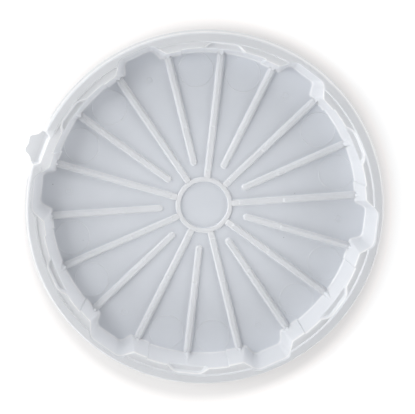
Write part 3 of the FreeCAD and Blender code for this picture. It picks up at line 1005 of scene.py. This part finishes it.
build_shell()
build_hub_ring()
for rank in range(ROUND_RIBS):
    angle = FIRST_RIB + 2 * RIB_PITCH * rank
    build_rib("long_rib_%d" % (rank + 1), angle, LONG_START, False)
    build_rib("short_rib_%d" % (rank + 1), angle + RIB_PITCH, SHORT_START, True)
build_marks()
build_snap_bead()
build_lift_tab()


# ------------------------------------------------------------------ the studio

FLOOR_GLOW = 0.76
FLOOR_SIZE = 3.0
FLOOR_DROP = 0.0001         # keeps the table clear of the panel's underside
FLOOR_TONES = [(0.3, grey(0.42)), (0.7, grey(0.44))]
FLOOR_ROUGHNESS = 0.9
FLOOR_NOISE_SCALE, FLOOR_NOISE_DETAIL = 3.0, 1.0
WARM, WHITE = (1.0, 0.965, 0.95), (1.0, 1.0, 1.0)
SHADE_CENTRE = (0.0029, -0.0068, 0.0)
SHADE_SQUASH = (1.0, 0.952, 1.0)
SHADE_STEPS = [             # (distance from the middle, share of the glow, colour)
    (100.0, 0.40, WARM), (113.5, 0.51, WARM), (115.4, 0.59, WARM), (117.0, 0.67, WARM),
    (118.7, 0.74, WARM), (120.3, 0.79, WARM), (122.5, 0.84, WHITE), (127.0, 0.91, WHITE),
    (136.0, 0.98, WHITE), (145.0, 1.0, WHITE),
]


def build_floor():
    """A white table lit from below, with the lid's soft contact shade on it."""
    mesh = bpy.data.meshes.new("studio_floor")
    corners = [(x * FLOOR_SIZE, y * FLOOR_SIZE, -FLOOR_DROP)
               for x, y in ((-1, -1), (1, -1), (1, 1), (-1, 1))]
    mesh.from_pydata(corners, [], [[0, 1, 2, 3]])
    floor = bpy.data.objects.new("studio_floor", mesh)
    bpy.context.scene.collection.objects.link(floor)
    material = bpy.data.materials.new("studio_white")
    material.use_nodes = True
    tree = material.node_tree
    shader = tree.nodes["Principled BSDF"]
    place = place_in_object(tree)
    patches = noise(tree, place, FLOOR_NOISE_SCALE, FLOOR_NOISE_DETAIL)
    tone = ramp(tree, patches, FLOOR_TONES)
    tree.links.new(tone, shader.inputs["Base Color"])
    shader.inputs["Roughness"].default_value = FLOOR_ROUGHNESS
    shifted = vector_step(tree, place, "SUBTRACT", SHADE_CENTRE)
    squashed = vector_step(tree, shifted, "MULTIPLY", SHADE_SQUASH)
    glow = tones_between(tree, vector_step(tree, squashed, "LENGTH"), [
        (distance, tuple(share * c for c in colour)) for distance, share, colour in SHADE_STEPS
    ])
    tree.links.new(glow, shader.inputs["Emission Color"])
    shader.inputs["Emission Strength"].default_value = FLOOR_GLOW
    mesh.materials.append(material)


TENT_STRENGTH = 1.84
TENT_COLOUR = (0.97, 0.985, 1.0)
TENT_SHADES = [             # (sine of the elevation, share of the light)
    (0.0, 0.40), (0.15, 1.0), (0.48, 1.0), (0.64, 0.10), (1.0, 0.05),
]


def build_world():
    """A light tent: bright all round at a low angle, dark overhead."""
    world = bpy.data.worlds.new("studio")
    world.use_nodes = True
    tree = world.node_tree
    background = tree.nodes["Background"]
    place = add_node(tree, "ShaderNodeTexCoord").outputs["Generated"]
    shade = ramp(tree, height_of(tree, place), [
        (height, tuple(share * c for c in TENT_COLOUR)) for height, share in TENT_SHADES
    ])
    tree.links.new(shade, background.inputs["Color"])
    background.inputs["Strength"].default_value = TENT_STRENGTH
    bpy.context.scene.world = world


LIGHT_DISTANCE = 1.6
LIGHTS = [                  # (name, bearing, elevation, size, power, colour)
    ("key", 172, 48, 0.6, 9.1, (0.985, 0.99, 0.985)),
    ("left_low", 176, 20, 0.8, 3.8, (1.0, 0.98, 0.95)),
    ("right_low", 22, 20, 1.0, 3.8, (1.0, 0.93, 0.87)),
    ("right_rim", 10, 8, 0.4, 1.6, (1.0, 0.99, 0.97)),
    ("front_low", 268, 22, 0.8, 2.5, (1.0, 0.98, 0.96)),
    ("front_high", 225, 65, 0.8, 2.2, WHITE),
]


def area_light(name, bearing, elevation, size, power, colour):
    """A square soft box aimed at the lid from a bearing and an elevation."""
    data = bpy.data.lights.new(name, "AREA")
    data.energy = power
    data.size = size
    data.color = colour
    light = bpy.data.objects.new(name, data)
    b, e = math.radians(bearing), math.radians(elevation)
    away = Vector((math.cos(e) * math.cos(b), math.cos(e) * math.sin(b), math.sin(e)))
    light.location = away * LIGHT_DISTANCE
    light.rotation_euler = away.to_track_quat("Z", "Y").to_euler()
    bpy.context.scene.collection.objects.link(light)


CAMERA_TILT = 10.5          # away from straight overhead
CAMERA_BEARING = 112.8
CAMERA_ROLL = 6.59
CAMERA_DISTANCE = 0.9724
CAMERA_AIM = Vector((0.00227, -0.00105, 0.00184))
SENSOR_WIDTH = 36.0         # millimetres, as is the lens
CAMERA_LENS = 131.673
CAMERA_FAR = 20.0


def build_camera():
    """The camera looks down almost along the lid's axis, turned a little."""
    data = bpy.data.cameras.new("camera")
    data.sensor_width = SENSOR_WIDTH
    data.lens = CAMERA_LENS
    data.clip_end = CAMERA_FAR
    camera = bpy.data.objects.new("camera", data)
    tilt, bearing = math.radians(CAMERA_TILT), math.radians(CAMERA_BEARING)
    away = Vector((math.sin(tilt) * math.cos(bearing), math.sin(tilt) * math.sin(bearing),
                   math.cos(tilt)))
    up = Vector((0, 1, 0))
    up = (up - away * up.dot(away)).normalized()
    right = up.cross(away)
    roll = math.radians(CAMERA_ROLL)
    turned_up = up * math.cos(roll) - right * math.sin(roll)
    turned_right = turned_up.cross(away)
    matrix = Matrix((turned_right, turned_up, away)).transposed().to_4x4()
    matrix.translation = CAMERA_AIM + away * CAMERA_DISTANCE
    camera.matrix_world = matrix
    bpy.context.scene.collection.objects.link(camera)
    bpy.context.scene.camera = camera


build_floor()
build_world()
for light in LIGHTS:
    area_light(*light)
build_camera()
bpy.context.scene.view_settings.view_transform = "Standard"
